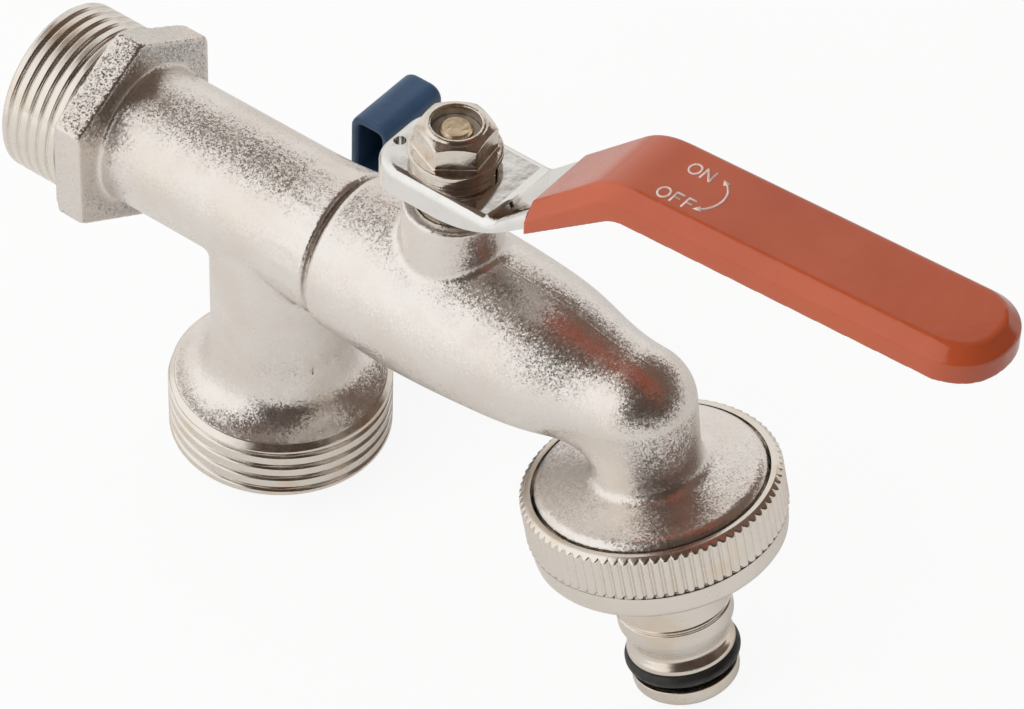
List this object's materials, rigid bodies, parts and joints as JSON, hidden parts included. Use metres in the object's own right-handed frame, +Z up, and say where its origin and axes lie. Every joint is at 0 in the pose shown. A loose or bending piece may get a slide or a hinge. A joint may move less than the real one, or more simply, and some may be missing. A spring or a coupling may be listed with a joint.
{
  "type": "dual outlet garden tap",
  "caption": "Wall tap with a threaded branch below and a lever-operated spout that ends in a knurled hose connector; each outlet has its own quarter-turn ball valve.",
  "frame": {"origin": "on the axis of the wall thread, at the back face of the hexagon that meets the wall fitting", "axes": "+X from the wall along the main pipe to the spout, +Z up, the branch outlet points down"},
  "size_m": [0.1606, 0.0521, 0.0968],
  "materials": {
    "satin_nickel": "blasted cast brass with satin nickel plating",
    "turned_nickel": "turned brass with bright nickel plating",
    "bare_brass": "turned bare brass",
    "bright_ball": "polished chromed brass",
    "seat_plastic": "white low-friction plastic",
    "seal_rubber": "black rubber",
    "zinc_plate": "bright zinc-plated pressed steel",
    "plated_fastener": "nickel-plated steel",
    "red_vinyl": "glossy red dipped vinyl",
    "blue_plastic": "glossy dark blue plastic"
  },
  "bodies": {
    "tap_body": {"inlet_body": "satin_nickel", "outlet_body": "satin_nickel", "body_joint_ring": "seal_rubber", "main_seat_inlet": "seat_plastic", "main_seat_outlet": "seat_plastic", "main_thrust_washer": "seat_plastic", "main_gland": "turned_nickel", "branch_seat_upper": "seat_plastic", "branch_seat_lower": "seat_plastic", "branch_seat_retainer": "bare_brass", "branch_thrust_washer": "seat_plastic"},
    "lever": {"main_ball": "bright_ball", "main_stem": "bare_brass", "main_packing_lower": "seal_rubber", "main_packing_upper": "seal_rubber", "lever_plate": "zinc_plate", "lever_grip": "red_vinyl", "lever_spring_washer": "plated_fastener", "lever_nut": "plated_fastener", "lever_nut_insert": "seat_plastic"},
    "butterfly": {"branch_ball": "bright_ball", "branch_stem": "bare_brass", "branch_packing_inner": "seal_rubber", "branch_packing_outer": "seal_rubber", "branch_handle": "blue_plastic", "branch_handle_nut": "plated_fastener"},
    "connector_travel": {"connector_washer": "seal_rubber"},
    "connector": {"hose_connector": "turned_nickel", "nipple_ring": "seal_rubber"}
  },
  "joints": [
    {"name": "lever_turn", "type": "hinge", "parent": "tap_body", "child": "lever", "pos_m": [0.0611, 0, 0], "axis": [0, 0, 1], "range_deg": [-90, 0]},
    {"name": "butterfly_turn", "type": "hinge", "parent": "tap_body", "child": "butterfly", "pos_m": [0.03, 0, -0.0225], "axis": [0, 1, 0], "range_deg": [0, 90]},
    {"name": "connector_advance", "type": "slide", "parent": "tap_body", "child": "connector_travel", "axis": [0.2419, 0, -0.9703], "range_m": [0, 0.0069]},
    {"name": "connector_turn", "type": "hinge", "parent": "connector_travel", "child": "connector", "pos_m": [0.09645, 0, -0.01184], "axis": [0.2419, 0, -0.9703], "range_deg": [0, 1080]}
  ],
  "couplings": [
    {"joint": "connector_turn", "follows": "connector_advance", "rad_per_m": 2721.2}
  ]
}
